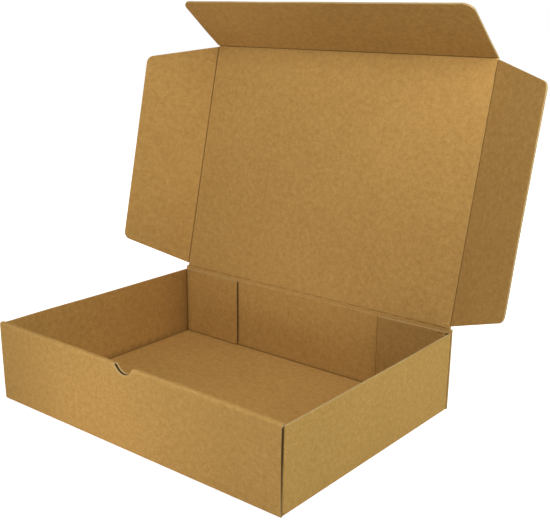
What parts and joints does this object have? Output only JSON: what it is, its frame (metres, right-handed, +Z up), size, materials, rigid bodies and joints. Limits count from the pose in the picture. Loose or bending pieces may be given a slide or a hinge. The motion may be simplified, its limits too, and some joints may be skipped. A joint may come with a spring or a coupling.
{
  "type": "shipping box",
  "caption": "Open one-piece folding mailer box of brown corrugated board, with a rolled front wall, thumb notch, hinged lid, tapered side flaps and a tuck flap.",
  "frame": {"origin": "middle of the tray's underside, on the surface that the box stands on", "axes": "+X along the front to the right, +Y from the front wall to the hinged back wall, +Z up"},
  "size_m": [0.4298, 0.2926, 0.3472],
  "materials": {
    "tray_board": "plain brown kraft liner, matt",
    "lid_board": "plain brown kraft liner, matt",
    "left_flap_board": "plain brown kraft liner, matt",
    "right_flap_board": "plain brown kraft liner, matt",
    "tuck_flap_board": "plain brown kraft liner, matt"
  },
  "bodies": {
    "tray": {"tray": "tray_board"},
    "lid": {"lid": "lid_board"},
    "left_side_flap": {"left_side_flap": "left_flap_board"},
    "right_side_flap": {"right_side_flap": "right_flap_board"},
    "tuck_flap": {"tuck_flap": "tuck_flap_board"}
  },
  "joints": [
    {"name": "lid_hinge", "type": "hinge", "parent": "tray", "child": "lid", "pos_m": [0, 0.12, 0.0755], "axis": [-1, 0, 0], "range_deg": [-99.5, 77]},
    {"name": "left_flap_fold", "type": "hinge", "parent": "lid", "child": "left_side_flap", "pos_m": [-0.1582, 0.12, 0.0755], "axis": [0, -0.225, -0.9744], "range_deg": [-45, 45]},
    {"name": "right_flap_fold", "type": "hinge", "parent": "lid", "child": "right_side_flap", "pos_m": [0.1582, 0.12, 0.0755], "axis": [0, 0.225, 0.9744], "range_deg": [-59, 31]},
    {"name": "tuck_fold", "type": "hinge", "parent": "lid", "child": "tuck_flap", "pos_m": [0, 0.17263, 0.30345], "axis": [-1, 0, 0], "range_deg": [-30.5, 64.5]}
  ]
}
